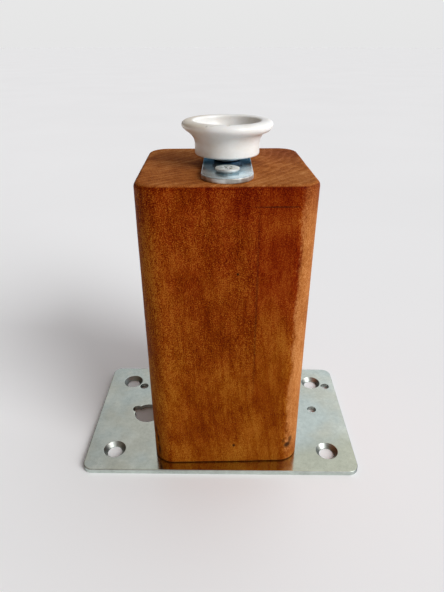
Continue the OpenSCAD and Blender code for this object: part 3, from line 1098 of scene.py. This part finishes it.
def porcelain():
    """Satin white porcelain: faint clouds, specks, stains and an uneven glaze, with painted warm shade on
    the outside at the left.
    """
    s = Shader("porcelain")
    q = s.millimetres(node_span("cup")[0])
    x, _, z = s.split(q)
    cloud = s.noise(q, (7, 7, 5), 3, 0.55)
    wash = s.noise(q, (2.2, 2.2, 1.4), 3, 0.6)
    specks = s.remap(s.cells(q, 2.6), 0.07, 0.03)
    body = s.ramp(
        cloud, (0.3, (0.79, 0.765, 0.715)), (0.5, (0.84, 0.825, 0.79)), (0.7, (0.86, 0.855, 0.835))
    )
    body = s.mix(s.remap(wash, 0.55, 0.75, 0, 0.35), body, (0.74, 0.69, 0.61))
    body = s.mix(s.times(specks, 0.35), body, (0.36, 0.28, 0.20))
    from_axis = s.vector("LENGTH", s.vector("MULTIPLY", q, (1, 1, 0)))
    flare = s.times(s.math("SUBTRACT", z, 143), 0.16)
    outside = s.remap(s.math("SUBTRACT", from_axis, flare), 11.9, 12.5)
    # painted shade: the outside is darkened and warmed toward the left, away from the light
    painted_left_shade = s.times(outside, s.remap(s.plus(x, s.times(cloud, 6)), 1, -11))
    body = s.mix(painted_left_shade, body, (0.88, 0.80, 0.69), "MULTIPLY")
    for place, radii, dark in CUP_STAINS:
        body = s.mix(s.times(s.blob(q, place, radii), dark), body, (0.20, 0.15, 0.10))
    s.set(Base_Color=body, Coat_Weight=0.35, Coat_Roughness=0.22, Subsurface_Weight=0.12)
    s.set(Subsurface_Radius=(1.0, 0.8, 0.6), Subsurface_Scale=0.0012)
    s.set(Roughness=s.total((wash, 0.25, 0.5), base=0.42))
    s.bump(s.total((cloud, 2.0, 0.5), (wash, 0.6, 0.5)), 0.03)
    return s.material


def red_fibre():
    """Vulcanised fibre: brick red with short pressed fibres."""
    s = Shader("red_fibre")
    q = s.millimetres()
    fibres = s.noise(s.turned(q, 30), (1.6, 0.18, 0.5), 3, 0.65)
    tone = s.total((fibres, 1.3, 0.5), (s.noise(q, 2.4), 0.8, 0.5), base=0.5)
    colour = s.ramp(
        tone, (0.0, (0.09, 0.018, 0.010)), (0.5, (0.20, 0.045, 0.022)), (1.0, (0.34, 0.10, 0.05))
    )
    s.set(Base_Color=colour, Roughness=s.total((fibres, 0.4, 0.5), base=0.68))
    s.bump(fibres, 0.04)
    return s.material


def pale_floor():
    s = Shader("pale_floor")
    cloud = s.noise(s.millimetres(), 260)
    s.set(Base_Color=s.ramp(cloud, (0.3, (0.93, 0.93, 0.93)), (0.7, (0.95, 0.95, 0.95))))
    s.set(Roughness=1.0, Specular_IOR_Level=0.0)
    return s.material


ZINC_LOOKS = {
    "zinc_plate": dict(
        warm=(0.69, 0.71, 0.61), cool=(0.65, 0.725, 0.675), pale=(0.76, 0.79, 0.70),
        dull=(0.30, 0.29, 0.26), worn_and_glint=(0.45, 0.44, 0.41),
        roughness=0.14, spread=0.10, relief=0.012, size=1.0, tint=plate_tint, edges=plate_edges_painted_light,
    ),
    "zinc_strap": dict(
        warm=(0.62, 0.72, 0.76), cool=(0.52, 0.70, 0.80), pale=(0.74, 0.80, 0.82),
        # painted reflection: the strap rim's brown stands for the wood mirrored in it, and its light
        # streaks are painted glints
        dull=(0.30, 0.22, 0.15), worn_and_glint=(0.72, 0.69, 0.63),
        roughness=0.17, spread=0.08, relief=0.006, size=0.5, tint=strap_painted_reflection,
    ),
    "zinc_screw": dict(
        warm=(0.78, 0.77, 0.72), cool=(0.72, 0.76, 0.76), pale=(0.86, 0.85, 0.82),
        dull=(0.55, 0.55, 0.53), worn_and_glint=(0.72, 0.72, 0.70),
        roughness=0.34, spread=0.16, relief=0.02, size=0.3,
    ),
    "zinc_nut": dict(
        warm=(0.60, 0.64, 0.66), cool=(0.52, 0.60, 0.66), pale=(0.70, 0.72, 0.72),
        dull=(0.48, 0.51, 0.53), worn_and_glint=(0.64, 0.66, 0.67),
        roughness=0.24, spread=0.16, relief=0.02, size=0.3,
    ),
}
MATERIALS = {name: zinc(name, **look) for name, look in ZINC_LOOKS.items()}
MATERIALS["stained_wood"] = stained_wood()
MATERIALS["spring_steel"] = spring_steel()
MATERIALS["porcelain"] = porcelain()
MATERIALS["red_fibre"] = red_fibre()


# -------------------- studio

def backdrop():
    """A round, level floor that reaches far past the view."""
    shape = Shape()
    bands = shape.loft(rings([(0.3 * 1.8 ** k, 0) for k in range(8)], 96))
    shape.fan(bands[0], (0, 0, 0))
    floor = shape.to_object("floor")
    floor.data.shade_smooth()
    floor.data.materials.append(pale_floor())


def studio_world():
    """Light bright from the back and right, dim and warm from the front left, before a plain pale wall."""
    world = bpy.data.worlds.new("studio")
    bpy.context.scene.world = world
    world.use_nodes = True
    sky = Nodes(world.node_tree)
    direction = sky.add("TexCoord", {}, "Generated")
    height = sky.split(direction)[2]

    def toward(heading, low, high):
        """A smooth step from 0 to 1 as the direction turns toward a heading."""
        return sky.remap(sky.vector("DOT_PRODUCT", direction, heading), low, high)

    def levels(*stops):
        """Grey levels by height above the horizon."""
        return sky.ramp(height, *((place, (level, level, level)) for place, level in stops))

    tint = sky.mix(toward((0.86, 0.50, 0), -0.55, 0.85), (0.120, 0.080, 0.052), (1.16, 1.19, 1.24))
    level = levels((0.0, 0.95), (0.25, 0.80), (0.45, 0.68), (0.75, 0.75), (1.0, 1.25))
    light = sky.mix(1.0, level, tint, "MULTIPLY")
    light = sky.mix(toward((-0.25, 0.943, 0.218), 0.93, 0.985), light, (0.46, 0.47, 0.49))
    wall = levels((0.0, 0.79), (0.06, 0.80), (0.35, 0.92), (1.0, 1.0))
    seen = sky.add("LightPath", {}, "Is Camera Ray")
    sky.put(sky.nodes["Background"].inputs["Color"], sky.mix(seen, light, wall))


def key_light():
    """A broad, slightly cool sun from the front right."""
    data = bpy.data.lights.new("key", "SUN")
    data.energy = KEY_STRENGTH
    data.angle = KEY_WIDTH
    data.color = (0.97, 0.985, 1.0)
    lamp = bpy.data.objects.new("key", data)
    lamp.rotation_euler = Vector(KEY_TOWARD).to_track_quat("Z", "Y").to_euler()
    bpy.context.scene.collection.objects.link(lamp)


def camera():
    data = bpy.data.cameras.new("camera")
    data.lens = CAMERA_LENS
    data.clip_start = 0.01
    view = bpy.data.objects.new("camera", data)
    view.location = CAMERA_AT
    view.rotation_euler = (CAMERA_TILT, 0, CAMERA_TURN)
    bpy.context.scene.collection.objects.link(view)
    bpy.context.scene.camera = view


# -------------------- the whole model

base_plate()
post()
strap()
for node in STRAP_SCREWS:
    wood_screw(node, STRAP_SCREW_R, 0.5 * MM, point_up=False)
for node in PLATE_SCREWS:
    wood_screw(node, PLATE_SCREW_R, 0, point_up=True)
weld_nut()
round_nut()
ring_part("lower_fibre_washer", "red_fibre", edge=0.15 * MM, wobble=0.12 * MM)
ring_part("upper_fibre_washer", "red_fibre", edge=0.12 * MM, wobble=0.15 * MM)
ring_part("steel_washer", "zinc_nut", edge=0.15 * MM)
spring_washer()
cup_screw()
cup()

backdrop()
studio_world()
key_light()
camera()
bpy.context.scene.view_settings.view_transform = "Standard"
